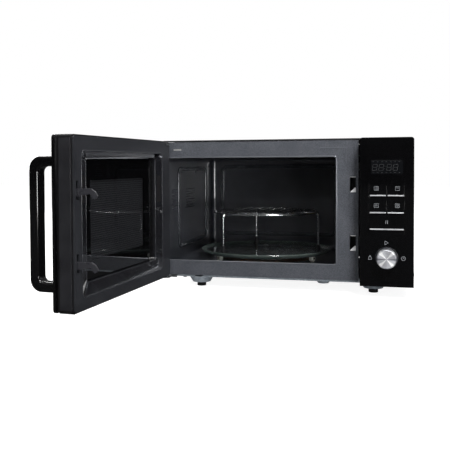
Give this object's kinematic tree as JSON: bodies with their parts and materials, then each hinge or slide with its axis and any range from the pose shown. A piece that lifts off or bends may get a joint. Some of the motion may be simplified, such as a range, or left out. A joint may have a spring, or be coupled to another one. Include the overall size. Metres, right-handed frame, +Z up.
{
  "type": "countertop microwave oven",
  "caption": "Countertop microwave oven with grill: side-hinged door standing open, hooked latch, key panel with push dial, glass turntable on a roller ring and a wire grill rack.",
  "frame": {"origin": "on the counter, midway between the four feet", "axes": "+Z up, the front with the door faces -Y, +X to the right of someone facing the oven"},
  "size_m": [0.5744, 0.76, 0.293],
  "materials": {
    "black_painted_steel": "satin black powder coat",
    "grey_speckled_enamel": "gunmetal grey semi-gloss enamel with fine speckle",
    "galvanised_steel": "dull zinc",
    "door_black_glass": "glass printed black on the back",
    "clear_pane": "clear inner pane",
    "clear_glass": "clear tempered glass",
    "panel_gloss": "piano black",
    "key_gloss": "piano black with a silver bar",
    "black_plastic": "fine-grained black",
    "handle_gloss": "glossy black",
    "grey_frame_plastic": "semi-matt dark grey",
    "spun_aluminium": "spun face",
    "chrome_wire": "chromed wire",
    "black_rubber": "matt",
    "silicone": "satin silicone",
    "amber_plastic": "translucent amber",
    "white_plastic": "white",
    "mica": "mica sheet",
    "zinc_steel": "zinc-plated screw",
    "circuit_board": "green board",
    "laminated_iron": "laminations and varnished coils",
    "fin_aluminium": "pressed fins",
    "heater_steel": "dark sheath",
    "grey_plastic": "moulded grey",
    "spring_steel": "spring wire"
  },
  "bodies": {
    "oven": {"outer_case": "black_painted_steel", "base_plate": "galvanised_steel", "rear_panel": "black_painted_steel", "front_plate": "grey_speckled_enamel", "cavity": "grey_speckled_enamel", "rubber_feet": "black_rubber", "plate_plug": "white_plastic", "hinge_lower": "galvanised_steel", "hinge_upper": "galvanised_steel", "hinge_screws": "zinc_steel", "control_housing": "black_plastic", "control_glass": "panel_gloss", "key_carrier": "black_plastic", "control_board": "circuit_board", "display_module": "black_plastic", "dial_ring": "black_plastic", "dial_encoder": "black_plastic", "waveguide_cover": "mica", "waveguide": "galvanised_steel", "magnetron": "fin_aluminium", "transformer": "laminated_iron", "capacitor": "fin_aluminium", "fan_motor": "galvanised_steel", "air_duct": "grey_plastic", "interlock_frame": "black_plastic", "door_switches": "grey_plastic", "grill_heater": "heater_steel", "grill_reflector": "galvanised_steel", "cavity_lamp": "white_plastic", "filter_board": "circuit_board", "turntable_motor": "galvanised_steel", "cord_gland": "black_plastic", "case_screws": "zinc_steel", "base_screws": "zinc_steel"},
    "door": {"door_frame": "black_plastic", "door_glass": "door_black_glass", "door_mesh": "black_painted_steel", "door_inner_frame": "grey_frame_plastic", "door_inner_pane": "clear_pane", "handle": "handle_gloss", "handle_screws": "zinc_steel", "latch_spring": "spring_steel"},
    "latch": {"door_latch": "black_plastic"},
    "dial_plunger": {"dial_shaft": "zinc_steel"},
    "dial": {"dial_knob": "spun_aluminium", "dial_cap": "spun_aluminium"},
    "turntable_drive": {"drive_coupler": "amber_plastic"},
    "turntable": {"glass_turntable": "clear_glass"},
    "grill_rack": {"rack_wire": "chrome_wire", "rack_sleeves": "silicone"},
    "roller_carrier": {"roller_ring": "amber_plastic"},
    "roller_a": {"roller_1": "white_plastic"},
    "roller_b": {"roller_2": "white_plastic"},
    "roller_c": {"roller_3": "white_plastic"},
    "fan": {"fan_blade": "grey_plastic"},
    "microwave_key": {"key_microwave": "key_gloss"},
    "grill_key": {"key_grill": "key_gloss"},
    "defrost_key": {"key_defrost": "key_gloss"},
    "combination_key": {"key_combination": "key_gloss"},
    "stop_key": {"key_stop": "key_gloss"}
  },
  "joints": [
    {"name": "door_hinge", "type": "hinge", "parent": "oven", "child": "door", "pos_m": [-0.234, -0.189, 0.15], "axis": [0, 0, -1], "range_deg": [-93.7, 8]},
    {"name": "latch_lift", "type": "slide", "parent": "door", "child": "latch", "axis": [0, 0, 1], "range_m": [0, 0.007], "stiffness_N_per_m": 260, "springref_m": -0.001, "deforming": ["latch_spring"]},
    {"name": "dial_press", "type": "slide", "parent": "oven", "child": "dial_plunger", "axis": [0, 1, 0], "range_m": [0, 0.001], "stiffness_N_per_m": 900},
    {"name": "dial_turn", "type": "hinge", "parent": "dial_plunger", "child": "dial", "pos_m": [0.1951, -0.238, 0.0743], "axis": [0, -1, 0], "continuous": true},
    {"name": "turntable_turn", "type": "hinge", "parent": "oven", "child": "turntable_drive", "pos_m": [-0.06425, -0.001, 0.045], "axis": [0, 0, 1], "continuous": true},
    {"name": "turntable_lift", "type": "slide", "parent": "turntable_drive", "child": "turntable", "axis": [0, 0, 1], "range_m": [0, 0.03]},
    {"name": "rack_lift", "type": "slide", "parent": "turntable", "child": "grill_rack", "axis": [0, 0, 1], "range_m": [0, 0.06]},
    {"name": "roller_ring_turn", "type": "hinge", "parent": "oven", "child": "roller_carrier", "pos_m": [-0.06425, -0.001, 0.046], "axis": [0, 0, 1], "continuous": true},
    {"name": "fan_spin", "type": "hinge", "parent": "oven", "child": "fan", "pos_m": [0.173, 0.15, 0.175], "axis": [0, 1, 0], "continuous": true},
    {"name": "microwave_key_press", "type": "slide", "parent": "oven", "child": "microwave_key", "axis": [0, 1, 0], "range_m": [0, 0.0008], "stiffness_N_per_m": 800},
    {"name": "grill_key_press", "type": "slide", "parent": "oven", "child": "grill_key", "axis": [0, 1, 0], "range_m": [0, 0.0008], "stiffness_N_per_m": 800},
    {"name": "defrost_key_press", "type": "slide", "parent": "oven", "child": "defrost_key", "axis": [0, 1, 0], "range_m": [0, 0.0008], "stiffness_N_per_m": 800},
    {"name": "combination_key_press", "type": "slide", "parent": "oven", "child": "combination_key", "axis": [0, 1, 0], "range_m": [0, 0.0008], "stiffness_N_per_m": 800},
    {"name": "stop_key_press", "type": "slide", "parent": "oven", "child": "stop_key", "axis": [0, 1, 0], "range_m": [0, 0.0008], "stiffness_N_per_m": 800},
    {"name": "roller_spin_a", "type": "hinge", "parent": "roller_carrier", "child": "roller_a", "pos_m": [-0.15081, -0.07364, 0.046], "axis": [-0.766, -0.6428, 0], "continuous": true},
    {"name": "roller_spin_b", "type": "hinge", "parent": "roller_carrier", "child": "roller_b", "pos_m": [0.04194, -0.03965, 0.046], "axis": [0.9397, -0.342, 0], "continuous": true},
    {"name": "roller_spin_c", "type": "hinge", "parent": "roller_carrier", "child": "roller_c", "pos_m": [-0.08387, 0.11028, 0.046], "axis": [-0.1736, 0.9848, 0], "continuous": true}
  ],
  "couplings": [
    {"joint": "roller_ring_turn", "follows": "turntable_turn", "ratio": 0.5},
    {"joint": "roller_spin_a", "follows": "turntable_turn", "ratio": -8.0714},
    {"joint": "roller_spin_b", "follows": "turntable_turn", "ratio": -8.0714},
    {"joint": "roller_spin_c", "follows": "turntable_turn", "ratio": -8.0714}
  ]
}
